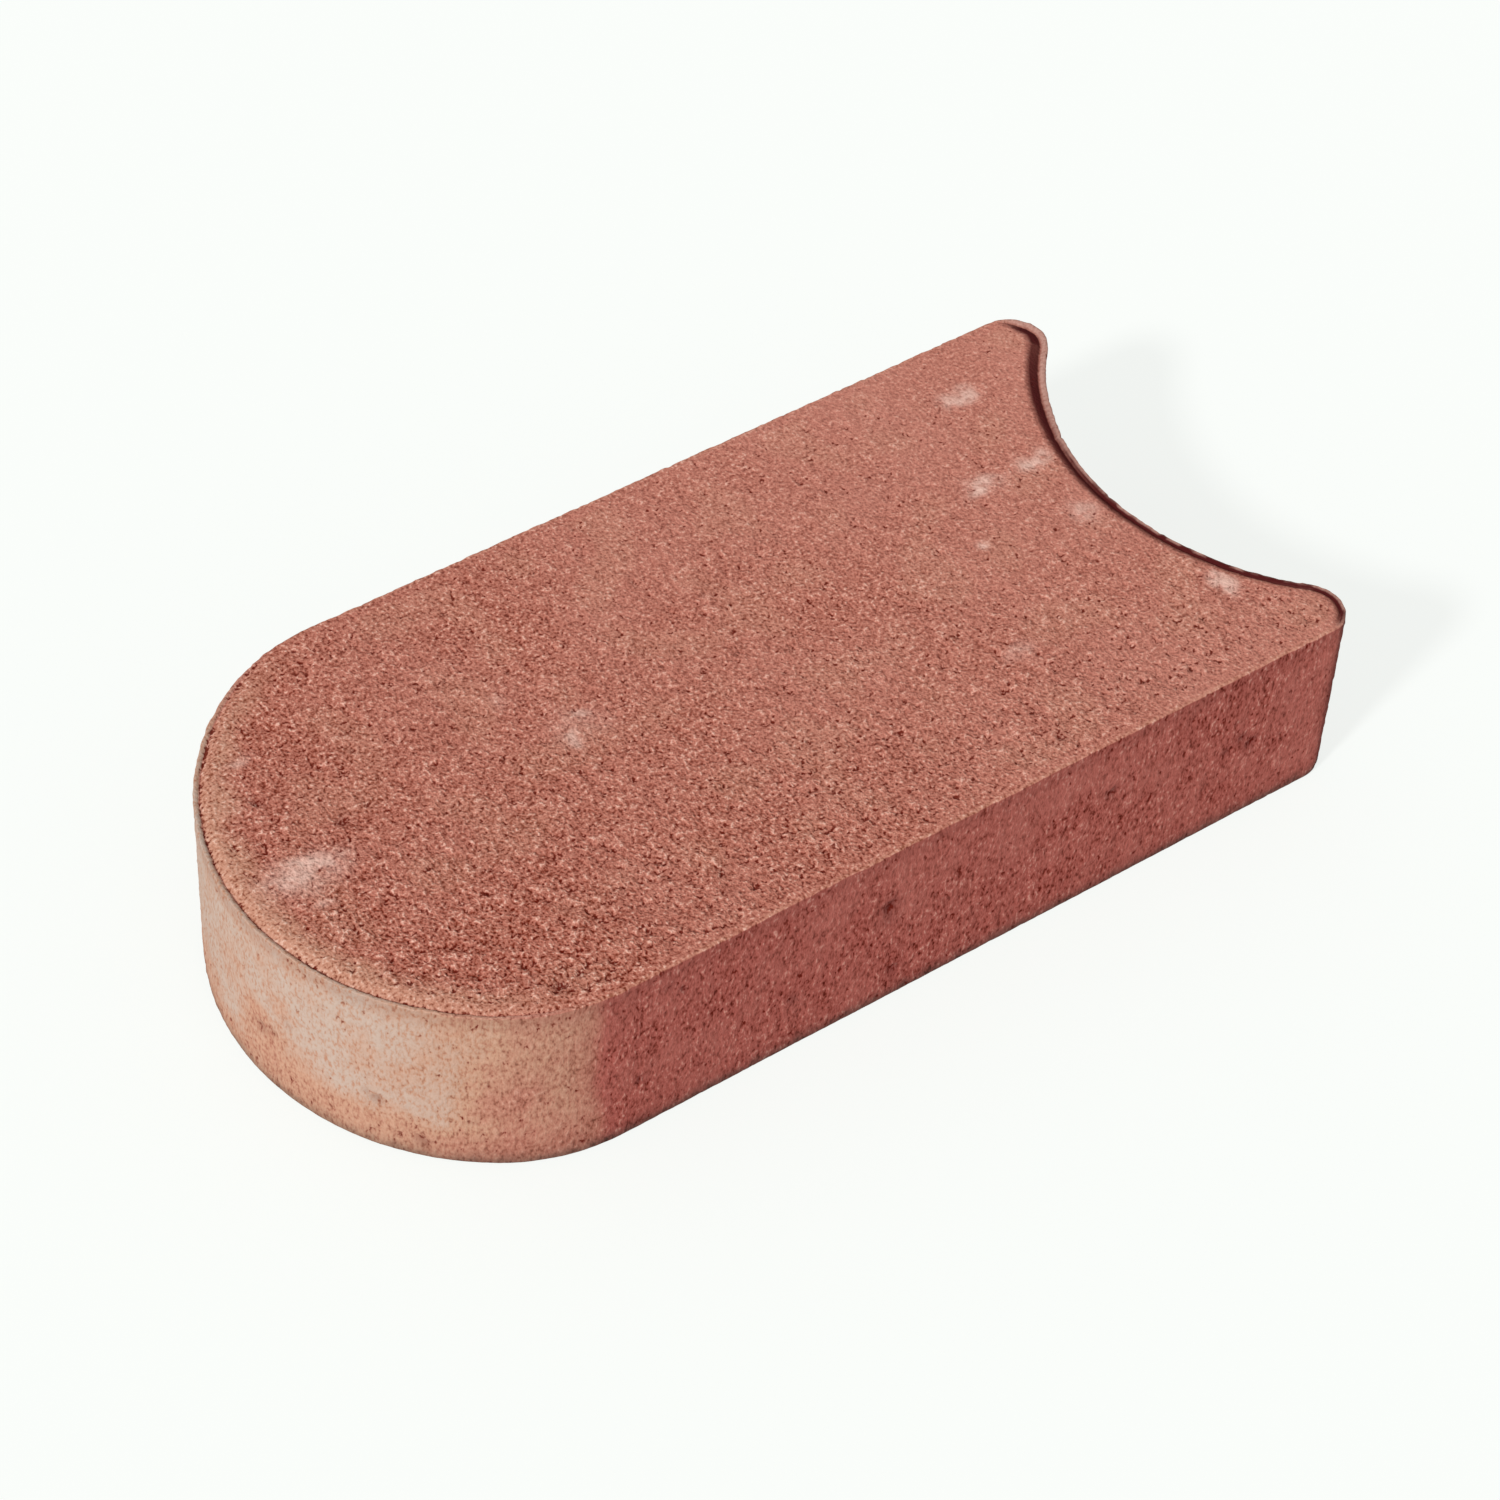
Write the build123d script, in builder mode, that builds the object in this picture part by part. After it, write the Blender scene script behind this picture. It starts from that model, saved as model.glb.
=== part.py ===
from build123d import *
from math import atan2, degrees, sqrt
import os

# Lawn edging stone, cast in one piece from red concrete.
# It lies on its bed face: X runs along the stone from nose to socket, Z is up,
# and the origin is the middle of the bed. Sizes are in millimetres.

# Driving dimensions of the block
LENGTH = 240.0  # nose apex to horn tips
WIDTH = 118.0  # across the two straight sides
HEIGHT = 45.0  # bed face to tread face

# Driving dimensions of the two ends, which nest nose into socket in a row
NOSE_BULGE = 3.0  # how much the nose radius exceeds half the width
NOSE_CORNER_RADIUS = 45.0  # blend from the nose into each straight side
JOINT_GAP = 2.0  # room left round a nose in its neighbour's socket
HORN_RADIUS = 8.0  # rounded tips on both sides of the socket

# Driving dimensions of the rim that the press leaves round the top of each end
LEDGE_WIDTH = 1.2  # flat strip next to the wall
CHAMFER_WIDTH = 2.4  # slope from the ledge up to the tread face
RIM_DEPTH = 1.0  # drop from the tread face to the ledge


def plan_face(length):
    """The stone's plan at a given length: both ends move, the sides stay in line."""
    half_length = length / 2
    half_width = WIDTH / 2
    nose_radius = half_width + NOSE_BULGE
    socket_radius = nose_radius + JOINT_GAP

    # Each corner circle touches its side and lies against the nose circle from inside
    nose_x = nose_radius - half_length
    corner_y = half_width - NOSE_CORNER_RADIUS
    corner_x = nose_x - sqrt((nose_radius - NOSE_CORNER_RADIUS) ** 2 - corner_y**2)
    nose_angle = degrees(atan2(corner_y, corner_x - nose_x))

    # Each horn circle touches its side and lies against the socket circle from outside
    horn_x = half_length - HORN_RADIUS
    horn_y = half_width - HORN_RADIUS
    socket_x = horn_x + sqrt((socket_radius + HORN_RADIUS) ** 2 - horn_y**2)
    socket_angle = degrees(atan2(horn_y, horn_x - socket_x))
    horn_sweep = 90 - (socket_angle - 180)

    with BuildSketch() as plan:
        with BuildLine():
            CenterArc((nose_x, 0), nose_radius, nose_angle, 360 - 2 * nose_angle)
            CenterArc((socket_x, 0), socket_radius, socket_angle, 360 - 2 * socket_angle)
            CenterArc((corner_x, corner_y), NOSE_CORNER_RADIUS, 90, nose_angle - 90)
            CenterArc((corner_x, -corner_y), NOSE_CORNER_RADIUS, -90, 90 - nose_angle)
            CenterArc((horn_x, horn_y), HORN_RADIUS, 90, -horn_sweep)
            CenterArc((horn_x, -horn_y), HORN_RADIUS, -90, horn_sweep)
            Line((corner_x, half_width), (horn_x, half_width))
            Line((corner_x, -half_width), (horn_x, -half_width))
        make_face()
    return plan.sketch


with BuildPart() as edging_stone:
    # Block up to the ledge
    with BuildSketch():
        add(plan_face(LENGTH))
    extrude(amount=HEIGHT - RIM_DEPTH)

    # Crown above the ledge: both ends slope in, and the sides run straight up
    with BuildSketch(Plane.XY.offset(HEIGHT - RIM_DEPTH)):
        add(plan_face(LENGTH - 2 * LEDGE_WIDTH))
    with BuildSketch(Plane.XY.offset(HEIGHT)):
        add(plan_face(LENGTH - 2 * (LEDGE_WIDTH + CHAMFER_WIDTH)))
    loft(ruled=True)

edging_stone.part.label = "edging_stone"

os.makedirs("parts", exist_ok=True)
export_step(edging_stone.part, "parts/edging_stone.step")
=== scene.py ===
import math

import bpy
import numpy as np
from mathutils import Matrix, Vector, noise
from mathutils.geometry import delaunay_2d_cdt


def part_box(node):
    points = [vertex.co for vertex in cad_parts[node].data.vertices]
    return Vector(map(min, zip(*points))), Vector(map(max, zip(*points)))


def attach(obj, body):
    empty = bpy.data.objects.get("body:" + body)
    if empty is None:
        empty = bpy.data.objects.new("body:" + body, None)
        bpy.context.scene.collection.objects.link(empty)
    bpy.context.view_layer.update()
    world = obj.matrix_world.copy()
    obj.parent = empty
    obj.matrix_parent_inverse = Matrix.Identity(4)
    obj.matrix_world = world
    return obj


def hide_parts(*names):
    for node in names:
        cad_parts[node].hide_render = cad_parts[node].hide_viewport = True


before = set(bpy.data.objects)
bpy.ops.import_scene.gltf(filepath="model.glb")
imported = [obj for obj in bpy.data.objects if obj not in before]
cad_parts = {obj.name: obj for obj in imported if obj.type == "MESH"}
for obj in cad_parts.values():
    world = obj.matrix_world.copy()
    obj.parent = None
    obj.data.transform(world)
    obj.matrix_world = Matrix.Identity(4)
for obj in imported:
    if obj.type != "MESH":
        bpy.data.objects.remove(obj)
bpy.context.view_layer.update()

# Lawn edging stone: one pressed block of red concrete, lying on its bed face.
# Shapes are worked out in millimetres and turned into metres when a mesh is made.
MM = 0.001
NODE = "edging_stone"

# Plan of the stone, the same sizes as the solid. Its facets leave the box a little short in length.
node_low, node_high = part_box(NODE)
LENGTH = round((node_high.x - node_low.x) / MM, 0)
WIDTH = round((node_high.y - node_low.y) / MM, 1)
HEIGHT = round((node_high.z - node_low.z) / MM, 1)
NOSE_BULGE = 3.0  # how much the nose radius exceeds half the width
NOSE_RADIUS = WIDTH / 2 + NOSE_BULGE
NOSE_X = NOSE_RADIUS - LENGTH / 2
NOSE_CORNER_RADIUS = 45.0
JOINT_GAP = 2.0  # room left round a nose in its neighbour's socket
SOCKET_RADIUS = NOSE_RADIUS + JOINT_GAP
HORN_RADIUS = 8.0

# Edge of the tread face, from the wall inwards: (inset, depth below the tread).
# The ends have the press rim: a lip, a crease and a slope. The sides have a plain arris.
RIM_AT_ENDS = (
    (0.0, 0.85), (0.05, 0.62), (0.2, 0.5), (0.6, 0.52), (0.95, 0.7),
    (1.25, 1.15), (1.55, 0.95), (2.1, 0.55), (2.9, 0.2), (3.6, 0.0),
)
RIM_AT_SIDES = (
    (0.0, 0.4), (0.05, 0.2), (0.15, 0.08), (0.35, 0.03), (0.6, 0.0),
    (0.9, 0.0), (1.2, 0.0), (1.6, 0.0), (2.1, 0.0), (2.6, 0.0),
)
CREASE_ROW = 5  # the rim's row in the crease: the lip lies before it and the slope after it
RIM_FULL_AT = 0.9  # share of the way round to the end at which the rim is at its full width
SOCKET_RIM_SLANT = 0.0065  # growth of the socket's rim for each millimetre towards the far side
SLANT_LIMITS = (-0.1, 0.3)
SLANT_FACING = (0.3, 0.8)  # how far a wall faces the socket end where the slant comes in
BED_EDGE = ((0.55, 0.0), (0.2, 0.12), (0.05, 0.45))  # (inset, height) of the worn bottom edge
WALL_FOOT = 1.2  # height of the wall's lowest row

# Painted shade in the socket's rim, where the slope faces away from the key lamp and the tread's edge
# shades the lip: (row of the rim, how dark it is at each station across the stone)
SHADE_STATIONS = (-45.0, 0.0, 35.0)
SOCKET_PAINTED_SHADE = (
    (3, (0.2, 0.2, 0.0)),
    (4, (0.9, 0.9, 0.0)),
    (5, (1.0, 1.0, 0.4)),
    (6, (0.9, 1.0, 1.0)),
    (7, (0.3, 1.0, 1.0)),
    (8, (0.0, 0.75, 1.0)),
    (9, (0.0, 0.25, 0.5)),
)

# Relief in layers of noise: (height, size of the features, seed), and how far they are drawn out upright.
# The layers of noise further down have a strength in place of the height.
TREAD_LEVEL = ((0.20, 24.0, 1), (0.06, 8.0, 2))
TREAD_SAND = ((0.12, 2.3, 3), (0.24, 1.4, 4))
TREAD_SCATTER = 0.05
WALL_LEVEL = ((0.20, 28.0, 11), (0.10, 9.0, 12))
WALL_SAND = ((0.12, 1.7, 13, 8.0), (0.14, 2.0, 14))
WALL_SCATTER = 0.04
NOISE_SHIFT = 17.3  # sets the noise of one seed apart from that of the next
FOOT_SETTLES = (-0.5, 1.2)  # heights between which the wall's relief comes in

# Openness of the tread's grain: in the middle, and what it gains to the nose and to the near side
OPENNESS = 1.1
OPENNESS_TO_NOSE = 0.2
OPENNESS_TO_NEAR_SIDE = 0.25
RIM_ROUGH = ((CREASE_ROW, 0.3), (CREASE_ROW + 4, 0.7))  # (row of the rim, openness)
BAND_SMOOTHER = 0.12
EDGE_SMOOTHER = 0.25

# Pinholes of one point each, and round pores:
# (size of the cells they lie in, seed, share of cells with one, least radius, most radius)
PINHOLE_SHARE = 0.07
PINHOLE_SIZES = (0.2, 1.0)
MORE_PINHOLES_NEAR = 0.5  # what the share gains at the tread's near edge
NEAR_EDGE = (20.0, 45.0)  # distances from the middle line between which it gains that
TREAD_PORES = (9.0, 6, 0.4, 0.7, 1.3)
WALL_PORES = (10.0, 16, 0.5, 0.6, 1.2)
TREAD_PINHOLE_DEPTH = 0.4
TREAD_PORE_DEPTH = 0.4
WALL_PINHOLE_DEPTH = 0.3
WALL_PORE_DEPTH = 0.5
TREAD_DARK_PORES = (0.85, 0.75, 0.8)  # how dark the painted shade is in pinholes, pores and the cores of pits
WALL_DARK_PORES = (0.66, 0.72, 0.5)
PORE_SHIFT = 9.7  # sets the cells of one seed apart from those of the next
PORE_PICK = 7.1  # scale of the noise that picks which cells have a pore

# Pits seen in the photograph: on the tread (x, y, radius, depth), on the near wall (x, z, radius, depth)
# and on the nose wall (bearing from the middle of the nose in degrees, z, radius, depth)
TREAD_PITS = (
    (-78.2, -51.2, 1.5, 0.9),
    (-73.3, -50.7, 0.9, 0.7),
    (-69.3, -54.9, 0.9, 0.6),
    (-89.5, -44.1, 0.9, 0.6),
    (-82.3, -47.4, 0.9, 0.6),
    (-102.3, 22.2, 1.2, 0.8),
    (-90.3, 8.6, 1.3, 0.8),
    (45.0, -51.8, 1.2, 0.7),
    (-35.0, -44.0, 1.1, 0.6),
)
NEAR_WALL_PITS = (
    (-3.0, 28.5, 2.2, 0.8),
    (-2.7, 24.8, 2.2, 0.35),
    (-0.8, 8.6, 1.5, 0.9),
    (54.5, 29.0, 1.4, 0.7),
    (90.5, 24.5, 1.5, 0.6),
    (93.5, 21.5, 1.6, 0.7),
    (86.0, 22.5, 1.1, 0.5),
    (-64.0, 15.0, 1.0, 0.7),
    (-27.0, 15.5, 1.1, 0.7),
    (-58.0, 39.0, 1.3, 0.5),
    (-55.0, 36.5, 1.0, 0.5),
)
NOSE_PITS = (
    (186.0, 15.5, 1.6, 0.5),
    (189.0, 17.0, 1.2, 0.4),
    (193.5, 23.0, 1.0, 0.4),
    (213.0, 14.2, 1.3, 0.7),
    (211.0, 15.5, 0.8, 0.5),
    (231.0, 12.5, 0.9, 0.4),
    (222.0, 5.0, 1.5, 0.5),
)
PIT_RAGGED = 0.9  # how far the edges stray
PIT_RAGGED_SIZE = 1.3
PIT_SEEDS = (31, 32, 33)
PIT_FULL_DARK = 1.2  # darkness of a pit's painted shade and stain for each millimetre of its depth, up to 1
PIT_CORE = 1.6  # crispness of the painted shade in the core
PIT_STAIN = 0.9  # how fast the stain fades

# Patches of pale lime bloom on the tread: (x, y, half length along x, half length along y, strength)
TREAD_BLOOMS = (
    (-104.5, 0.8, 9.0, 4.6, 0.88),
    (-106.0, -7.5, 3.0, 1.3, 0.5),
    (-34.6, 6.7, 2.0, 1.6, 0.85),
    (-39.8, 2.6, 2.2, 1.5, 0.75),
    (-37.0, 4.5, 7.0, 4.5, 0.2),
    (-46.0, 19.5, 2.5, 2.0, 0.2),
    (90.0, 43.0, 4.2, 2.7, 0.85),
    (77.0, 17.0, 4.6, 2.5, 1.0),
    (90.8, 16.6, 4.2, 2.4, 1.0),
    (66.0, 3.4, 2.0, 1.7, 0.9),
    (91.5, -1.8, 3.6, 3.0, 0.55),
    (102.5, -34.0, 2.6, 3.5, 0.85),
    (51.5, -28.0, 3.5, 2.0, 0.35),
    (-99.0, 34.5, 2.8, 2.0, 0.5),
)
SMEAR = 3.0  # how far the patches stray
SMEAR_SIZE = 6.0
SMEAR_SEEDS = (41, 42)
BLOOM_FADE = 1.5  # the higher, the sharper a patch ends
BLOOM_SPECKLE = ((1.0, 1.6, 43),)
SPECKLE_FROM = (-1.0, 0.2)  # values of that noise between which the bloom comes in

# Bloom on the walls: how far a wall faces the nose end, and how much of the bloom it has there
BLOOM_ROUND_NOSE = (
    (0.11, 0.0), (0.17, 0.26), (0.27, 0.40), (0.50, 0.48), (0.67, 0.68), (0.80, 0.97), (1.0, 1.0),
)
BLOOM_LEAST = 0.5
BLOOM_PATCHES = ((1.0, 17.0, 51, 1.4), (0.4, 5.0, 52, 2.0))
BLOOM_WEAR = ((0.28, 7.0, 53, 1.5), (0.20, 2.5, 54))
STRAY_NEAR = 0.06  # how far the bloom's edge strays on the near half and on the far half
STRAY_FAR = 0.30
STRAY_ENDS = (-85.0, -55.0)  # stretch along the stone over which the straying dies away
BLOOM_FOOT = (2.0, 17.0)  # heights between which the bloom gains strength, and how far they stray
BLOOM_FOOT_STRAY = 8.0
BLOOM_AT_FOOT = 0.58
BLOOM_GAIN = 0.42
BLOOM_TOP = (HEIGHT - 7.0, HEIGHT - 2.0)  # heights between which it loses a little
BLOOM_LOSS = 0.12
WEAR_BASE = 0.93
WEAR_IN_PATCHES = 0.8

# Places on the nose wall where the bloom is worn thin: (bearing, z, half width, half height, share gone)
NOSE_WORN = (
    (187.0, 15.0, 8.0, 8.0, 0.5),
    (203.0, 5.0, 13.0, 5.5, 0.55),
    (220.0, 3.0, 12.0, 5.0, 0.5),
    (239.0, 18.0, 8.0, 9.0, 0.4),
)

# Painted contact shadow at the foot of the walls: (height, share of its dark grey)
FOOT_SHADOW_SHARES = ((1.0, 0.62), (1.6, 0.43), (2.0, 0.31), (3.0, 0.135), (4.5, 0.0))
FOOT_SHADOW_EDGE = ((1.0, 2.5, 71),)

# Slow change of tone, from 0 to 1
TREAD_DRIFT = ((0.3, 30.0, 61), (0.15, 9.0, 62))
WALL_DRIFT = ((0.9, 26.0, 64, 1.5), (0.7, 9.0, 65), (0.45, 3.5, 66, 2.0))
TREAD_DRIFT_BASE = 0.42
WALL_DRIFT_BASE = 0.45
DRIFT_TO_SOCKET = 0.48
DRIFT_TO_FAR_SIDE = 0.12

# Where the looks of a wall change: heights, and places across the stone
# Painted shade towards the foot of the walls: heights between which it fades, and how dark it is
FOOT_SHADE = (2.0, 9.0)
FOOT_PAINTED_SHADE = 0.07
# Painted shade just below the arris: heights between which it comes in, and how dark it is
ARRIS_SHADE = (HEIGHT - 6.0, HEIGHT - 1.5)
ARRIS_PAINTED_SHADE = 0.16
NEAR_HORN = (-54.0, -48.0)
HORN_PAINTED_SHADE = 0.62
HORN_TURN_IN = (0.25, 0.45)  # how far the wall faces the socket end where the painted shade on the horn's turn starts
HORN_TURN_OUT = (0.8, 0.97)  # and where it ends

# Where the looks of the rim and the tread change: places across the stone, along it, or in from the wall
RIM_FROM_NEAR = (-60.0, -10.0)
RIM_FAR = (15.0, 40.0)
LIP_CLEARS = (-20.0, 35.0)
COARSE_SPECKS = (20.0, 110.0)
NOSE_BAND = (3.5, 10.0)
TREAD_EDGE = (1.5, 4.5)
BAND_EDGE = ((2.5, 7.0, 74),)
CREASE_BREAKS = ((1.0, 1.5, 72), (0.7, 9.0, 73))
BREAKS_FROM = (-0.3, 0.25)
CREASE_SHARES = ((-2, 0.0), (-1, 0.6), (0, 1.0), (1, 0.85), (2, 0.15))  # (rows from the crease, share)
CREASE_FACING = (0.1, 0.5)
ARRIS_SHARES = ((1, 0.2), (2, 0.45), (4, 0.3), (6, 0.0))  # (row of the rim, share of tan)
ARRIS_WHOLE = 0.4
ARRIS_BROKEN = 0.6
NOSE_FILLS_PORES = 0.5
LIP_MOTTLE = ((1.0, 2.5, 76),)
MOTTLE_FROM = (-0.1, 0.3)
LIP_DARK = 0.3
LIP_MOTTLE_DARK = 0.55
LIP_BLOOM = 0.55
TAN_PATCHES = ((1.0, 13.0, 75),)
TAN_FROM = (0.0, 0.4)
PATCH_TAN = 0.2
BAND_TAN = 0.8

# Shares that change across the stone: at the near side, what is gained from there, and on the far side
# The first holds the painted shade in the nose's crease
CREASE_PAINTED_SHADE = (0.45, 0.25, 0.25)
NOSE_TAN = (0.65, 0.24, -0.32)

# What the material reads at every point, each from 0 to 1 apart from the signed specks
FINISHES = ("tread", "dark", "soil", "pore", "band", "bloom", "drift", "rough", "speck")
BLOOM_FILLS_PORES = 0.6
BLOOM_SMOOTHS = 0.12
BLOOM_HIDES_FOOT_SHADOW = 0.5
BLOOM_HIDES_STAIN = 0.4
PORES_BREAK_BLOOM = 0.3
WALL_STAIN = 0.75
RIM_STAIN = 0.7
TREAD_STAIN = 0.45
WALL_ROUGH = 0.3
SLOPE_ROUGH = 0.4
TREAD_ROUGH = 0.42
BAND_SMOOTHS = 0.1
EDGE_SMOOTHS = 0.1
SPECKS = 0.4
TREAD_SPECKS = 0.28
COARSER_SPECKS = 0.12
BED_DARK = 0.12
BED_BLOOM = 0.1
BED_ROUGH = 0.4

# Mesh density
OUTLINE_STEP = 0.85
WALL_ROWS = 46
TREAD_STEP = 0.8
TREAD_JITTER = 0.22
TREAD_CLEAR = 0.6  # least distance of the tread's points from its edge, in steps
WALL_JITTER = 0.25
BED_STEP = 4.0
BED_CLEAR = 1 / 3  # and of the bed's points
CAP_INSIDE = 1  # the triangulation keeps what lies inside the loop
CAP_CLOSE = 1e-6  # and joins points as close as this
SEED = 20

# Colours of the concrete, linear. The grain runs from pores to pale sand: (share, colour).
TREAD_GRAIN = (
    (0.25, (0.12, 0.010, 0.003)),
    (0.36, (0.265, 0.057, 0.033)),
    (0.44, (0.40, 0.128, 0.090)),
    (0.55, (0.50, 0.176, 0.126)),
    (0.63, (0.61, 0.248, 0.184)),
    (0.75, (0.86, 0.500, 0.400)),
)
WALL_GRAIN = (
    (0.24, (0.09, 0.007, 0.003)),
    (0.36, (0.23, 0.044, 0.031)),
    (0.44, (0.325, 0.079, 0.063)),
    (0.55, (0.380, 0.098, 0.079)),
    (0.64, (0.430, 0.125, 0.101)),
    (0.75, (0.60, 0.265, 0.215)),
)
TAN_GRAIN = (
    (0.24, (0.26, 0.078, 0.042)),
    (0.36, (0.43, 0.186, 0.118)),
    (0.45, (0.54, 0.262, 0.178)),
    (0.55, (0.59, 0.303, 0.212)),
    (0.64, (0.64, 0.360, 0.262)),
    (0.76, (0.77, 0.500, 0.395)),
)
THIN_BLOOM_GRAIN = (
    (0.30, (0.450, 0.230, 0.150)),
    (0.50, (0.490, 0.264, 0.178)),
    (0.70, (0.545, 0.310, 0.216)),
)
PALE_BLOOM_GRAIN = (
    (0.30, (0.468, 0.341, 0.279)),
    (0.50, (0.494, 0.366, 0.302)),
    (0.70, (0.515, 0.387, 0.322)),
)
TREAD_PINK = (0.585, 0.243, 0.188)
WALL_PINK = (0.44, 0.135, 0.109)
# Maroon for painted shade and for the stains round pits
MAROON_SHADE_AND_STAIN = (0.075, 0.010, 0.010)
# Painted shade inside pores, pinholes, pit cores and the nose's crease
PORE_SHADE = (0.125, 0.007, 0.002)
# Dark grey of the painted contact shadow at the foot of the walls
FOOT_SHADOW_GREY = (0.045, 0.043, 0.036)
BLOOM_LILAC = (0.79, 0.515, 0.435)
GRAIN_PER_MM = 1.40
GRAIN_UPRIGHT_PER_MM = 0.74  # grain is drawn out upright on the walls
GRAIN_DETAIL = 1.0
GRAIN_ROUGHNESS = 0.6
TREAD_DRIFT_SHARE = 0.6
WALL_DRIFT_SHARE = 0.55
ROUGHNESS = 0.93
SPECULAR = 0.05

# Ramps of the material: (value from, value to, result from, result to)
BLOOM_COVER = (0.25, 0.52, 0.5, 1.0)
THIN_BLOOM = (0.0, 0.5, 0.0, 1.0)
PALE_BLOOM = (0.5, 1.0, 0.0, 1.0)
LOW_GRAIN = (0.35, 0.65, 0.4, -0.4)
PORE_OPENS = (0.4, 0.75, 0.0, 0.85)

# Camera, from a fit to the outline in the photograph
CAMERA_AZIMUTH = 38.02
CAMERA_ELEVATION = 46.25
CAMERA_ROLL = 3.49
CAMERA_DISTANCE = 953.0
CAMERA_TARGET = Vector((15.48, 13.96, 0.0))
FOCAL_PIXELS = 4378.0
PHOTO_PIXELS = 1500
SENSOR_MM = 36.0
CLIP_START = 0.01  # metres

# Light: a key lamp beyond the nose, level with the turn of the near corner, and a dome
KEY_BEARING = 196.0
KEY_ELEVATION = 36.0
KEY_STRENGTH = 2.3
KEY_ANGLE = 7.0
DOME_STRENGTH = 0.55
FLOOR_HALF = 3.0  # metres
FLOOR_COLOUR = (0.93, 0.95, 0.93, 1.0)
BACKGROUND = (0.975, 1.0, 0.975, 1.0)
FLOOR_WHITENESS = 0.8  # share of the floor's look that is plain background; the rest takes the shadow


# Plan and relief

def smoothstep(low, high, value):
    """0 below low, 1 above high, and a smooth rise between."""
    t = np.clip((value - low) / (high - low), 0.0, 1.0)
    return t * t * (3.0 - 2.0 * t)


def outline(step):
    """Points and outward normals round the plan, anticlockwise from the near side."""
    half = WIDTH / 2
    corner_y = half - NOSE_CORNER_RADIUS
    corner_x = NOSE_X - math.sqrt((NOSE_RADIUS - NOSE_CORNER_RADIUS) ** 2 - corner_y**2)
    nose_angle = math.atan2(corner_y, corner_x - NOSE_X)
    horn_x = LENGTH / 2 - HORN_RADIUS
    horn_y = half - HORN_RADIUS
    socket_x = horn_x + math.sqrt((SOCKET_RADIUS + HORN_RADIUS) ** 2 - horn_y**2)
    socket_angle = math.atan2(horn_y, horn_x - socket_x)
    horn_end = math.pi - socket_angle
    quarter = math.pi / 2

    points = []
    normals = []

    def side(start_x, end_x, y):
        count = round(abs(end_x - start_x) / step)
        x = np.linspace(start_x, end_x, count, endpoint=False)
        points.append(np.column_stack((x, np.full(count, y))))
        normals.append(np.column_stack((np.zeros(count), np.full(count, math.copysign(1.0, y)))))

    def arc(x, y, radius, start, end, outward):
        count = round(abs(end - start) * radius / step)
        angle = np.linspace(start, end, count, endpoint=False)
        ray = np.column_stack((np.cos(angle), np.sin(angle)))
        points.append(np.array((x, y)) + radius * ray)
        normals.append(outward * ray)

    side(corner_x, horn_x, -half)
    arc(horn_x, -horn_y, HORN_RADIUS, -quarter, horn_end, 1.0)
    arc(socket_x, 0.0, SOCKET_RADIUS, 2 * math.pi - socket_angle, socket_angle, -1.0)
    arc(horn_x, horn_y, HORN_RADIUS, -horn_end, quarter, 1.0)
    side(horn_x, corner_x, half)
    arc(corner_x, corner_y, NOSE_CORNER_RADIUS, quarter, nose_angle, 1.0)
    arc(NOSE_X, 0.0, NOSE_RADIUS, nose_angle, 2 * math.pi - nose_angle, 1.0)
    arc(corner_x, -corner_y, NOSE_CORNER_RADIUS, 2 * math.pi - nose_angle, 3 * quarter, 1.0)
    return np.vstack(points), np.vstack(normals)


def inside(points, loop):
    """Which points lie inside a closed loop, by counting crossings."""
    x, y = points[:, 0], points[:, 1]
    result = np.zeros(len(points), bool)
    for (ax, ay), (bx, by) in zip(loop, np.roll(loop, -1, axis=0)):
        if ay != by:
            crosses = (ay > y) != (by > y)
            result ^= crosses & (x < (bx - ax) * (y - ay) / (by - ay) + ax)
    return result


def distance_to(loop, points):
    """Distance from each point to the nearest point of a loop, and which one that is."""
    distance = np.empty(len(points))
    nearest = np.empty(len(points), int)
    batch = 4096
    for start in range(0, len(points), batch):
        part = points[start:start + batch]
        gap = np.linalg.norm(part[:, None, :] - loop[None, :, :], axis=2)
        nearest[start:start + batch] = gap.argmin(axis=1)
        distance[start:start + batch] = gap.min(axis=1)
    return distance, nearest


def along(value, stops):
    """Share looked up along a row of (place, share) stops."""
    places, shares = zip(*stops)
    return np.interp(value, places, shares)


def noise_at(points, size, seed, upright=1.0):
    """Smooth noise, mostly within half of one either way, with features about the given size."""
    scaled = np.asarray(points) / (size * np.array((1.0, 1.0, upright))) + seed * NOISE_SHIFT
    return np.array([noise.noise(p) for p in scaled.tolist()])


def layered_noise(points, layers, base=0.0):
    """Layers of noise added to a base."""
    return sum((strength * noise_at(points, *kind) for strength, *kind in layers), base)


def pores_at(points, size, seed, share, smallest, largest):
    """Depth from 0 to 1 of round pores scattered about one to each cell of the given size."""
    depth = np.zeros(len(points))
    for index, point in enumerate((np.asarray(points) / size + seed * PORE_SHIFT).tolist()):
        distances, centres = noise.voronoi(point)
        pick = noise.cell_vector(centres[0] * PORE_PICK)
        if pick.x < share:
            radius = smallest + (largest - smallest) * pick.y
            depth[index] = max(0.0, 1.0 - (distances[0] * size / radius) ** 2)
    return depth


def seen_pits():
    """Places of the pits seen in the photograph: x, y, z, radius, depth."""
    pits = [(x, y, HEIGHT, radius, depth) for x, y, radius, depth in TREAD_PITS]
    pits += [(x, -WIDTH / 2, z, radius, depth) for x, z, radius, depth in NEAR_WALL_PITS]
    for bearing, z, radius, depth in NOSE_PITS:
        angle = math.radians(bearing)
        x = NOSE_X + NOSE_RADIUS * math.cos(angle)
        pits.append((x, NOSE_RADIUS * math.sin(angle), z, radius, depth))
    return pits


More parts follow.
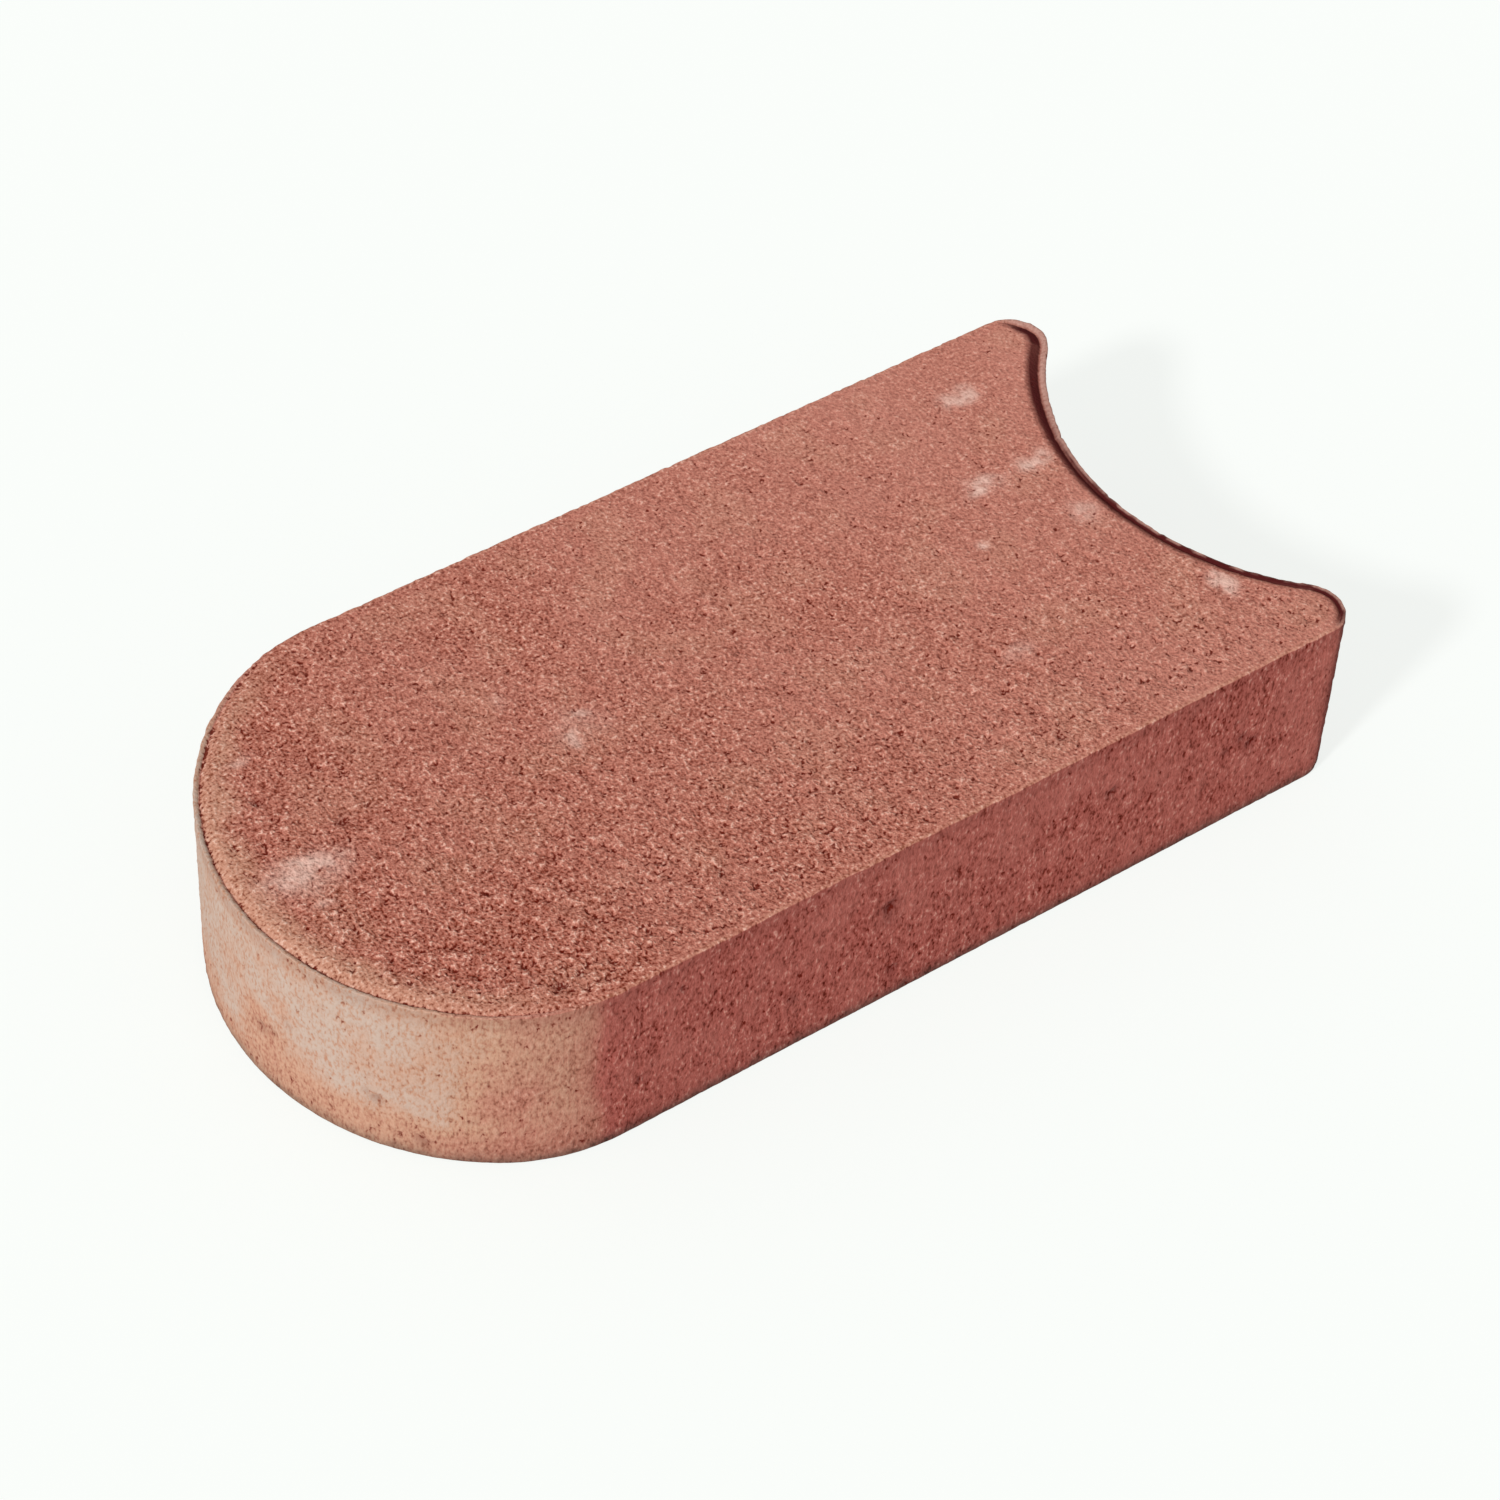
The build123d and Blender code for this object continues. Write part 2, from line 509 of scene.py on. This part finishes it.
def pits_at(points):
    """Of the seen pits: depth in millimetres with ragged edges, painted shade in their cores, and the
    stain round them.
    """
    shift = np.column_stack([noise_at(points, PIT_RAGGED_SIZE, seed) for seed in PIT_SEEDS])
    ragged = points + PIT_RAGGED * shift
    depth = np.zeros(len(points))
    cores = np.zeros(len(points))
    stain = np.zeros(len(points))
    for x, y, z, radius, deep in seen_pits():
        reach = np.sum((ragged - (x, y, z)) ** 2, axis=1) / radius**2
        depth = np.maximum(depth, deep * np.clip(1.0 - reach, 0.0, 1.0))
        dark = min(1.0, PIT_FULL_DARK * deep)
        cores = np.maximum(cores, dark * np.clip(PIT_CORE * (1.0 - reach), 0.0, 1.0))
        stain = np.maximum(stain, dark * np.exp(-PIT_STAIN * reach))
    return depth, cores, stain


def openness(points):
    """How open the grain is: coarser towards the nose and the near side."""
    to_socket = points[:, 0] / (LENGTH / 2)
    to_far_side = points[:, 1] / (WIDTH / 2)
    return OPENNESS - OPENNESS_TO_NOSE * to_socket - OPENNESS_TO_NEAR_SIDE * to_far_side


def open_pores(small, large, cores, shares, rough=1.0):
    """How open the pores are, from 0 to 1, with the cores of the seen pits; it sets their painted shade.
    """
    small_share, large_share, core_share = shares
    pores = rough * np.maximum(small_share * small, large_share * large) + core_share * cores
    return np.clip(pores, 0.0, 1.0)


def tread_relief(points, rough, rng):
    """Depth below the tread plane, how open the pores are, stain of the pits, height of the grain."""
    count = len(points)
    level = layered_noise(points, TREAD_LEVEL)
    grain = rough * (layered_noise(points, TREAD_SAND) + rng.normal(0.0, TREAD_SCATTER, count))
    near_edge = smoothstep(*NEAR_EDGE, -points[:, 1])
    share = PINHOLE_SHARE * rough * (1.0 + MORE_PINHOLES_NEAR * near_edge)
    small = (rng.random(count) < share) * rng.uniform(*PINHOLE_SIZES, count)
    large = pores_at(points, *TREAD_PORES)
    pits, cores, stain = pits_at(points)
    depth = level + grain + rough * (TREAD_PINHOLE_DEPTH * small + TREAD_PORE_DEPTH * large) + pits
    return depth, open_pores(small, large, cores, TREAD_DARK_PORES, rough), stain, -grain


def wall_relief(points, rng):
    """Depth behind the wall plane, how open the pores are, stain of the pits, height of the grain."""
    count = len(points)
    level = layered_noise(points, WALL_LEVEL)
    grain = layered_noise(points, WALL_SAND) + rng.normal(0.0, WALL_SCATTER, count)
    small = (rng.random(count) < PINHOLE_SHARE) * rng.uniform(*PINHOLE_SIZES, count)
    large = pores_at(points, *WALL_PORES)
    pits, cores, stain = pits_at(points)
    depth = level + grain + WALL_PINHOLE_DEPTH * small + WALL_PORE_DEPTH * large + pits
    return depth, open_pores(small, large, cores, WALL_DARK_PORES), stain, -grain


def tread_bloom(points):
    """Strength of the pale lime bloom in patches on the tread."""
    shift = np.column_stack([noise_at(points, SMEAR_SIZE, seed) for seed in SMEAR_SEEDS])
    smear = points[:, :2] + SMEAR * shift
    strength = np.zeros(len(points))
    for x, y, long_x, long_y, most in TREAD_BLOOMS:
        reach = ((smear[:, 0] - x) / long_x) ** 2 + ((smear[:, 1] - y) / long_y) ** 2
        strength = np.maximum(strength, most * np.exp(-(reach**BLOOM_FADE)))
    return strength * smoothstep(*SPECKLE_FROM, layered_noise(points, BLOOM_SPECKLE))


def wall_bloom(points, facing):
    """Strength of the bloom on the walls: heavy on the nose, thin low down and towards the sides."""
    height = points[:, 2]
    patches = layered_noise(points, BLOOM_PATCHES)
    straying = np.where(points[:, 1] < 0, STRAY_NEAR, STRAY_FAR)
    straying *= 1.0 - smoothstep(*STRAY_ENDS, points[:, 0])
    round_nose = along(-facing + straying * patches, BLOOM_ROUND_NOSE)
    above_foot = smoothstep(*BLOOM_FOOT, height + BLOOM_FOOT_STRAY * patches)
    up_wall = BLOOM_AT_FOOT + BLOOM_GAIN * above_foot - BLOOM_LOSS * smoothstep(*BLOOM_TOP, height)
    worn = layered_noise(points, BLOOM_WEAR, WEAR_BASE)
    bearing = np.degrees(np.arctan2(points[:, 1], points[:, 0] - NOSE_X)) % 360.0
    for at_bearing, at_height, half_width, half_height, share in NOSE_WORN:
        sideways = np.radians(bearing - at_bearing) * NOSE_RADIUS / half_width
        reach = sideways**2 + ((height - at_height) / half_height) ** 2
        worn -= share * np.exp(-reach) * (1.0 + WEAR_IN_PATCHES * patches)
    return round_nose * np.clip(up_wall * worn, BLOOM_LEAST, 1.0)


def drift_at(points):
    """Slow change of tone over the stone, from 0 to 1, paler towards the socket and the far side."""
    drift = layered_noise(points, TREAD_DRIFT, TREAD_DRIFT_BASE)
    to_socket = DRIFT_TO_SOCKET * points[:, 0] / (LENGTH / 2)
    to_far_side = DRIFT_TO_FAR_SIDE * points[:, 1] / (WIDTH / 2)
    drift += to_socket + to_far_side
    return np.clip(drift, 0.0, 1.0)


def wall_drift_at(points):
    """Slow change of tone over the walls, from 0 to 1, in clearer patches than on the tread."""
    return np.clip(layered_noise(points, WALL_DRIFT, WALL_DRIFT_BASE), 0.0, 1.0)


# Finish of each region: what the material reads at every point

def finish(points, **given):
    """Every finish at each point; what isn't given is 0."""
    return {name: np.zeros(len(points)) + given.get(name, 0.0) for name in FINISHES}


def wall_finish(points, facing, pores, stain, grain):
    """Walls: bloom round the nose, painted contact shadow and painted shade at the foot, painted shade
    under the arris and at the near horn.
    """
    height = points[:, 2]
    bloom = wall_bloom(points, facing) * (1.0 - PORES_BREAK_BLOOM * pores)
    # Painted contact shadow, dark grey, at the foot of the walls
    soil = along(height + layered_noise(points, FOOT_SHADOW_EDGE), FOOT_SHADOW_SHARES)
    # Painted shade, fading upwards from the foot
    foot = FOOT_PAINTED_SHADE * (1.0 - smoothstep(*FOOT_SHADE, height))
    # Painted shade just below the arris
    painted_shade_under_arris = ARRIS_PAINTED_SHADE * smoothstep(*ARRIS_SHADE, height)
    # Painted shade on the near horn's turn, which faces away from the key lamp
    near_horn = 1.0 - smoothstep(*NEAR_HORN, points[:, 1])
    turn_ends = 1.0 - smoothstep(*HORN_TURN_OUT, facing)
    painted_horn_shade = HORN_PAINTED_SHADE * near_horn * smoothstep(*HORN_TURN_IN, facing) * turn_ends
    stained = stain * (WALL_STAIN - BLOOM_HIDES_STAIN * bloom)
    return finish(
        points,
        dark=np.clip(foot + painted_shade_under_arris + painted_horn_shade + stained, 0.0, 1.0),
        soil=soil * (1.0 - BLOOM_HIDES_FOOT_SHADOW * bloom),
        pore=pores * (1.0 - BLOOM_FILLS_PORES * bloom),
        bloom=bloom,
        drift=wall_drift_at(points),
        rough=WALL_ROUGH - BLOOM_SMOOTHS * bloom,
        speck=SPECKS * grain,
    )


def rim_finish(points, facing, ends, rows, pores, stain, grain):
    """Rim: a lip like the wall, and a slope like the tread, tan at the nose with painted shade in its
    crease, and painted shade at the socket.
    """
    row = np.repeat(np.arange(rows), len(points) // rows) + 1
    at_nose = ends * (facing < 0)
    at_socket = ends * (facing > 0)
    lip = ends * (row < CREASE_ROW)
    socket_lip = lip * (facing > 0)
    slope = row > CREASE_ROW
    from_near_side = smoothstep(*RIM_FROM_NEAR, points[:, 1])
    far = smoothstep(*RIM_FAR, points[:, 1])

    def across(at_near, gain, far_gain):
        return at_near + gain * from_near_side + far_gain * far

    broken = smoothstep(*BREAKS_FROM, layered_noise(points, CREASE_BREAKS))
    # The crease at the nose gets painted shade, broken into dashes
    from_crease = along(row - CREASE_ROW, CREASE_SHARES)
    crease = from_crease * smoothstep(*CREASE_FACING, at_nose) * broken * across(*CREASE_PAINTED_SHADE)
    # Painted shade in the socket's rim, row by row and across the stone
    painted_socket_shade = np.zeros(len(points))
    for band_row, shares in SOCKET_PAINTED_SHADE:
        here = row == band_row
        painted_socket_shade[here] = at_socket[here] * np.interp(points[here, 1], SHADE_STATIONS, shares)
    arris = (1.0 - ends) * along(row, ARRIS_SHARES) * (ARRIS_WHOLE + ARRIS_BROKEN * broken)
    mottled = smoothstep(*MOTTLE_FROM, layered_noise(points, LIP_MOTTLE))
    mottled *= 1.0 - smoothstep(*LIP_CLEARS, points[:, 1])
    lip_dark = (LIP_DARK + LIP_MOTTLE_DARK * mottled) * socket_lip
    return finish(
        points,
        tread=np.where(facing < 0, 1.0 - lip, 1.0),
        dark=np.clip(painted_socket_shade + lip_dark + RIM_STAIN * slope * stain, 0.0, 1.0),
        pore=np.maximum(pores * slope * (1.0 - NOSE_FILLS_PORES * at_nose), crease),
        band=np.clip(across(*NOSE_TAN) * at_nose * slope + arris, 0.0, 1.0),
        bloom=np.maximum(lip * wall_bloom(points, facing), LIP_BLOOM * socket_lip),
        drift=drift_at(points),
        rough=np.where(slope, SLOPE_ROUGH, WALL_ROUGH),
        speck=SPECKS * grain,
    )


def tread_finish(points, band, edge, pores, stain, grain):
    """Tread: bloom in patches, tan along the nose, and rougher where the grain is open."""
    bloom = tread_bloom(points)
    tan_patches = PATCH_TAN * smoothstep(*TAN_FROM, layered_noise(points, TAN_PATCHES))
    specks = TREAD_SPECKS + COARSER_SPECKS * smoothstep(*COARSE_SPECKS, points[:, 0])
    rough = TREAD_ROUGH * openness(points) - BAND_SMOOTHS * band - BLOOM_SMOOTHS * bloom
    rough -= EDGE_SMOOTHS * edge
    return finish(
        points,
        tread=1.0,
        dark=TREAD_STAIN * stain,
        pore=pores * (1.0 - BLOOM_FILLS_PORES * bloom),
        band=np.maximum(BAND_TAN * band, tan_patches),
        bloom=bloom,
        drift=drift_at(points),
        rough=rough,
        speck=specks * grain,
    )


def bed_finish(points):
    """Bed: plain, a little dark, with a trace of bloom."""
    return finish(points, dark=BED_DARK, bloom=BED_BLOOM, drift=drift_at(points), rough=BED_ROUGH)


# The stone

def shell_rows(ring, normals, ends):
    """Rows of points from the bed's edge, up the wall and over the rim, and how many the wall has."""
    count = len(ring)
    at_ends = np.array(RIM_AT_ENDS)
    at_sides = np.array(RIM_AT_SIDES)
    profile = at_sides + ends[:, None, None] * (at_ends - at_sides)
    slant = np.clip(SOCKET_RIM_SLANT * ring[:, 1], *SLANT_LIMITS)
    slant *= smoothstep(*SLANT_FACING, normals[:, 0])
    profile[:, :, 0] *= 1.0 + slant[:, None]
    rows = [(np.full(count, inset), np.full(count, height)) for inset, height in BED_EDGE]
    top = HEIGHT - profile[:, 0, 1]
    for row in range(WALL_ROWS):
        rows.append((np.zeros(count), WALL_FOOT + (top - WALL_FOOT) * row / (WALL_ROWS - 1)))
    wall_count = len(rows)
    for row in range(1, len(RIM_AT_ENDS)):
        rows.append((profile[:, row, 0], HEIGHT - profile[:, row, 1]))
    plan = np.array([ring - inset[:, None] * normals for inset, height in rows])
    level = np.array([height for inset, height in rows])
    return np.concatenate((plan, level[:, :, None]), axis=2), wall_count


def tread_grid(edge, rng):
    """Loose points over the tread inside its edge, about one step apart."""
    line_step = TREAD_STEP * math.sqrt(3) / 2
    lines = []
    for line, y in enumerate(np.arange(-WIDTH / 2, WIDTH / 2, line_step)):
        x = np.arange(-LENGTH / 2, LENGTH / 2, TREAD_STEP) + TREAD_STEP / 2 * (line % 2)
        lines.append(np.column_stack((x, np.full(len(x), y))))
    points = np.vstack(lines)
    points += rng.uniform(-TREAD_JITTER, TREAD_JITTER, points.shape)
    points = points[inside(points, edge)]
    return points[distance_to(edge, points)[0] > TREAD_CLEAR * TREAD_STEP]


def bed_grid(edge):
    """Points over the flat bed, far apart."""
    x, y = np.meshgrid(
        np.arange(-LENGTH / 2, LENGTH / 2, BED_STEP),
        np.arange(-WIDTH / 2, WIDTH / 2, BED_STEP),
    )
    points = np.column_stack((x.ravel(), y.ravel()))
    points = points[inside(points, edge)]
    return points[distance_to(edge, points)[0] > BED_CLEAR * BED_STEP]


def cap(points, loop, fill, upward):
    """Triangles between a closed loop of points and the loose points inside it."""
    order = np.concatenate((loop, fill))
    flat = [Vector(point) for point in points[order, :2].tolist()]
    edges = [(index, (index + 1) % len(loop)) for index in range(len(loop))]
    result = delaunay_2d_cdt(flat, edges, [], CAP_INSIDE, CAP_CLOSE)
    corners, origins = result[2:4]
    source = np.array([origin[0] for origin in origins])
    triangles = order[source[np.array(corners)]]
    if not upward:
        triangles = triangles[:, ::-1]
    return triangles.tolist()


def shell_faces(row_count, count):
    """Bands of quads up the shell, every second one turned."""
    columns = np.arange(count)
    after = (columns + 1) % count
    bands = []
    for row in range(row_count - 1):
        low = row * count
        high = low + count
        quads = np.column_stack((low + columns, low + after, high + after, high + columns))
        turned = (columns + row) % 2 == 1
        quads[turned] = np.roll(quads[turned], 1, axis=1)
        bands.append(quads)
    return np.vstack(bands).tolist()


def set_finish(mesh, regions):
    """Keeps the finish of the regions, in the order of their points, in the mesh's attributes."""
    for name in FINISHES:
        layer = mesh.attributes.new(name, "FLOAT", "POINT")
        values = np.concatenate([region[name] for region in regions])
        layer.data.foreach_set("value", values.astype(np.float32))


def stone_mesh():
    """The whole stone as one closed mesh, with its finish kept in point attributes."""
    rng = np.random.default_rng(SEED)
    ring, normals = outline(OUTLINE_STEP)
    count = len(ring)
    ends = smoothstep(0.0, RIM_FULL_AT, np.abs(normals[:, 0]))
    shell, wall_count = shell_rows(ring, normals, ends)
    rim_count = len(shell) - wall_count

    # Wall points lie loose along the wall, so that no rows or columns show
    tangents = np.column_stack((-normals[:, 1], normals[:, 0]))
    loose = shell[len(BED_EDGE) + 1:wall_count - 1]
    loose[:, :, :2] += rng.uniform(-WALL_JITTER, WALL_JITTER, (*loose.shape[:2], 1)) * tangents
    loose[:, :, 2] += rng.uniform(-WALL_JITTER, WALL_JITTER, loose.shape[:2])

    # The walls move in by their relief, and the rim follows the top of the wall less and less
    wall = shell[:wall_count].reshape(-1, 3)
    depth, *wall_look = wall_relief(wall, rng)
    depth *= smoothstep(*FOOT_SETTLES, wall[:, 2])
    wall[:, :2] -= depth[:, None] * np.tile(normals, (wall_count, 1))
    follow = np.linspace(1.0, 0.0, rim_count + 1)[:-1, None]
    top_depth = depth.reshape(wall_count, count)[-1]
    shell[wall_count:, :, :2] -= (follow * top_depth)[:, :, None] * normals

    # The tread and its edge sink by theirs
    rim = shell[wall_count:].reshape(-1, 3)
    rim_rough = np.repeat(along(np.arange(1, rim_count + 1), RIM_ROUGH), count)
    depth, *rim_look = tread_relief(rim * (1, 1, 0) + (0, 0, HEIGHT), rim_rough, rng)
    rim[:, 2] -= depth
    flat = tread_grid(shell[-1, :, :2], rng)
    inset, nearest = distance_to(ring, flat)
    tread = np.column_stack((flat, np.full(len(flat), HEIGHT)))
    at_nose = ends * (normals[:, 0] < 0)
    ragged = inset + layered_noise(tread, BAND_EDGE)
    band = (1.0 - smoothstep(*NOSE_BAND, ragged)) * at_nose[nearest]
    edge = 1.0 - smoothstep(*TREAD_EDGE, ragged)
    rough = openness(tread) - np.maximum(BAND_SMOOTHER * band, EDGE_SMOOTHER * edge)
    depth, *tread_look = tread_relief(tread, rough, rng)
    tread[:, 2] -= depth
    bed = bed_grid(shell[0, :, :2])
    bed = np.column_stack((bed, np.zeros(len(bed))))

    points = np.vstack((wall, rim, tread, bed))
    bed_loop = np.arange(count)
    tread_start = len(shell) * count
    bed_start = tread_start + len(tread)
    faces = shell_faces(len(shell), count)
    faces += cap(points, bed_loop + tread_start - count, np.arange(tread_start, bed_start), True)
    faces += cap(points, bed_loop, np.arange(bed_start, len(points)), False)

    mesh = bpy.data.meshes.new("edging_stone_cast")
    mesh.from_pydata((points * MM).tolist(), [], faces)
    mesh.polygons.foreach_set("use_smooth", [True] * len(mesh.polygons))

    facing = normals[:, 0]
    regions = (
        wall_finish(wall, np.tile(facing, wall_count), *wall_look),
        rim_finish(rim, np.tile(facing, rim_count), np.tile(ends, rim_count), rim_count, *rim_look),
        tread_finish(tread, band, edge, *tread_look),
        bed_finish(bed),
    )
    set_finish(mesh, regions)
    mesh.update()
    return mesh


class Graph:
    """Short calls for building a node tree."""

    def __init__(self, tree):
        self.tree = tree

    def node(self, kind, inputs, **settings):
        made = self.tree.nodes.new(kind)
        for name, value in settings.items():
            setattr(made, name, value)
        for key, value in inputs.items():
            if isinstance(value, bpy.types.NodeSocket):
                self.tree.links.new(value, made.inputs[key])
            else:
                made.inputs[key].default_value = value
        return made

    def math(self, operation, a, b):
        return self.node("ShaderNodeMath", {0: a, 1: b}, operation=operation).outputs[0]

    def scaled(self, vector, factors):
        inputs = {0: vector, 1: factors}
        return self.node("ShaderNodeVectorMath", inputs, operation="MULTIPLY").outputs[0]

    def mix(self, share, a, b):
        """From colour a to colour b; b may be a plain colour."""
        if isinstance(b, tuple):
            b = (*b, 1.0)
        return self.node("ShaderNodeMix", {0: share, 6: a, 7: b}, data_type="RGBA").outputs[2]

    def ramp(self, value, low, high, to_low, to_high):
        inputs = {0: value, 1: low, 2: high, 3: to_low, 4: to_high}
        return self.node("ShaderNodeMapRange", inputs).outputs[0]

    def colours(self, value, stops):
        """Colour looked up along a row of (share, colour) stops."""
        made = self.node("ShaderNodeValToRGB", {0: value})
        elements = made.color_ramp.elements
        while len(elements) < len(stops):
            elements.new(0.5)
        for element, (share, colour) in zip(elements, stops):
            element.position = share
            element.color = (*colour, 1.0)
        return made.outputs[0]

    def attribute(self, name):
        return self.node("ShaderNodeAttribute", {}, attribute_name=name).outputs["Fac"]


def stone_material():
    """Red concrete: sandy grain, slow drift of tone, lime bloom, pit stains, and painted shade in pores
    and crease, at the socket rim, the near horn, under the arris and along the foot.
    """
    material = bpy.data.materials.new("red_concrete_finish")
    material.use_nodes = True
    graph = Graph(material.node_tree)
    shader = material.node_tree.nodes["Principled BSDF"]
    where = graph.node("ShaderNodeTexCoord", {}).outputs["Object"]
    place = graph.scaled(where, (GRAIN_PER_MM / MM, GRAIN_PER_MM / MM, GRAIN_UPRIGHT_PER_MM / MM))
    sand = {"Vector": place, "Scale": 1.0, "Detail": GRAIN_DETAIL, "Roughness": GRAIN_ROUGHNESS}
    grain = graph.node("ShaderNodeTexNoise", sand).outputs[0]
    tone = graph.math("ADD", grain, graph.attribute("speck"))

    # Bloom lies on the grain and leaves its pores open
    cover = graph.ramp(tone, *BLOOM_COVER)
    bloom = graph.math("MULTIPLY", graph.attribute("bloom"), cover)
    tan = graph.colours(tone, TAN_GRAIN)
    drift = graph.attribute("drift")
    tread_pink = graph.math("MULTIPLY", drift, TREAD_DRIFT_SHARE)
    tread = graph.mix(tread_pink, graph.colours(tone, TREAD_GRAIN), TREAD_PINK)
    tread = graph.mix(graph.attribute("band"), tread, tan)
    tread = graph.mix(bloom, tread, BLOOM_LILAC)
    wall_pink = graph.math("MULTIPLY", drift, WALL_DRIFT_SHARE)
    wall = graph.mix(wall_pink, graph.colours(tone, WALL_GRAIN), WALL_PINK)
    wall = graph.mix(graph.ramp(bloom, *THIN_BLOOM), wall, graph.colours(tone, THIN_BLOOM_GRAIN))
    wall = graph.mix(graph.ramp(bloom, *PALE_BLOOM), wall, graph.colours(tone, PALE_BLOOM_GRAIN))
    colour = graph.mix(graph.attribute("tread"), wall, tread)
    # The dark finish mixes in maroon: painted shade at the socket rim, the near horn, under the arris and
    # towards the foot, and the stains round pits
    colour = graph.mix(graph.attribute("dark"), colour, MAROON_SHADE_AND_STAIN)
    # Painted contact shadow at the foot of the walls
    colour = graph.mix(graph.attribute("soil"), colour, FOOT_SHADOW_GREY)

    # Painted shade in the pores opens where the grain is low, so their edges are ragged and finer than
    # the mesh
    low_grain = graph.ramp(grain, *LOW_GRAIN)
    pore = graph.math("ADD", graph.attribute("pore"), low_grain)
    colour = graph.mix(graph.ramp(pore, *PORE_OPENS), colour, PORE_SHADE)

    height = graph.math("MULTIPLY", grain, graph.attribute("rough"))
    bump = graph.node("ShaderNodeBump", {"Height": height, "Strength": 1.0, "Distance": MM})
    material.node_tree.links.new(colour, shader.inputs["Base Color"])
    material.node_tree.links.new(bump.outputs[0], shader.inputs["Normal"])
    shader.inputs["Roughness"].default_value = ROUGHNESS
    shader.inputs["Specular IOR Level"].default_value = SPECULAR
    return material


def add_stone():
    """The cast stone in place of the plain solid."""
    stone = bpy.data.objects.new("edging_stone_cast", stone_mesh())
    bpy.context.scene.collection.objects.link(stone)
    stone.data.materials.append(stone_material())
    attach(stone, "root")
    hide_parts(NODE)


# The studio

def add_camera():
    """Camera at the photograph's viewing angle, with its slight roll."""
    azimuth = math.radians(CAMERA_AZIMUTH)
    elevation = math.radians(CAMERA_ELEVATION)
    roll = math.radians(CAMERA_ROLL)
    back = Vector((
        -math.sin(azimuth) * math.cos(elevation),
        -math.cos(azimuth) * math.cos(elevation),
        math.sin(elevation),
    ))
    level_right = Vector((0, 0, 1)).cross(back).normalized()
    level_up = back.cross(level_right)
    right = level_right * math.cos(roll) + level_up * math.sin(roll)
    up = level_up * math.cos(roll) - level_right * math.sin(roll)
    place = (CAMERA_TARGET + back * CAMERA_DISTANCE) * MM
    data = bpy.data.cameras.new("camera")
    data.sensor_width = SENSOR_MM
    data.lens = FOCAL_PIXELS * SENSOR_MM / PHOTO_PIXELS
    data.clip_start = CLIP_START
    camera = bpy.data.objects.new("camera", data)
    camera.matrix_world = Matrix((
        (right.x, up.x, back.x, place.x),
        (right.y, up.y, back.y, place.y),
        (right.z, up.z, back.z, place.z),
        (0, 0, 0, 1),
    ))
    bpy.context.scene.collection.objects.link(camera)
    bpy.context.scene.camera = camera


def seen_directly(graph):
    """1 for rays from the camera and for what gloss or glass would show, otherwise 0."""
    path = graph.node("ShaderNodeLightPath", {})
    seen = graph.math("MAXIMUM", path.outputs["Is Camera Ray"], path.outputs["Is Glossy Ray"])
    return graph.math("MAXIMUM", seen, path.outputs["Is Transmission Ray"])


def add_light():
    """A key lamp from beyond the nose and a dome that looks white."""
    data = bpy.data.lights.new("key", "SUN")
    data.energy = KEY_STRENGTH
    data.angle = math.radians(KEY_ANGLE)
    key = bpy.data.objects.new("key", data)
    bearing = math.radians(KEY_BEARING)
    elevation = math.radians(KEY_ELEVATION)
    toward = Vector((
        math.cos(bearing) * math.cos(elevation),
        math.sin(bearing) * math.cos(elevation),
        math.sin(elevation),
    ))
    key.rotation_euler = toward.to_track_quat("Z", "Y").to_euler()
    bpy.context.scene.collection.objects.link(key)

    world = bpy.data.worlds.new("dome")
    bpy.context.scene.world = world
    world.use_nodes = True
    graph = Graph(world.node_tree)
    shade = world.node_tree.nodes["Background"]
    shade.inputs["Color"].default_value = BACKGROUND
    strength = graph.ramp(seen_directly(graph), 0.0, 1.0, DOME_STRENGTH, 1.0)
    world.node_tree.links.new(strength, shade.inputs["Strength"])


def add_floor():
    """Pale floor that looks like the background but keeps the stone's shadow."""
    mesh = bpy.data.meshes.new("floor")
    corners = [(-1, -1), (1, -1), (1, 1), (-1, 1)]
    mesh.from_pydata([(x * FLOOR_HALF, y * FLOOR_HALF, 0) for x, y in corners], [], [(0, 1, 2, 3)])
    floor = bpy.data.objects.new("floor", mesh)
    bpy.context.scene.collection.objects.link(floor)
    material = bpy.data.materials.new("pale_floor")
    material.use_nodes = True
    tree = material.node_tree
    graph = Graph(tree)
    shader = tree.nodes["Principled BSDF"]
    shader.inputs["Base Color"].default_value = FLOOR_COLOUR
    shader.inputs["Roughness"].default_value = 1.0
    shader.inputs["Specular IOR Level"].default_value = 0.0
    glow = graph.node("ShaderNodeEmission", {"Color": BACKGROUND, "Strength": 1.0})
    share = graph.math("MULTIPLY", seen_directly(graph), FLOOR_WHITENESS)
    both = graph.node("ShaderNodeMixShader", {0: share, 1: shader.outputs[0], 2: glow.outputs[0]})
    tree.links.new(both.outputs[0], tree.nodes["Material Output"].inputs["Surface"])
    mesh.materials.append(material)


add_stone()
add_camera()
add_light()
add_floor()
bpy.context.scene.view_settings.view_transform = "Standard"
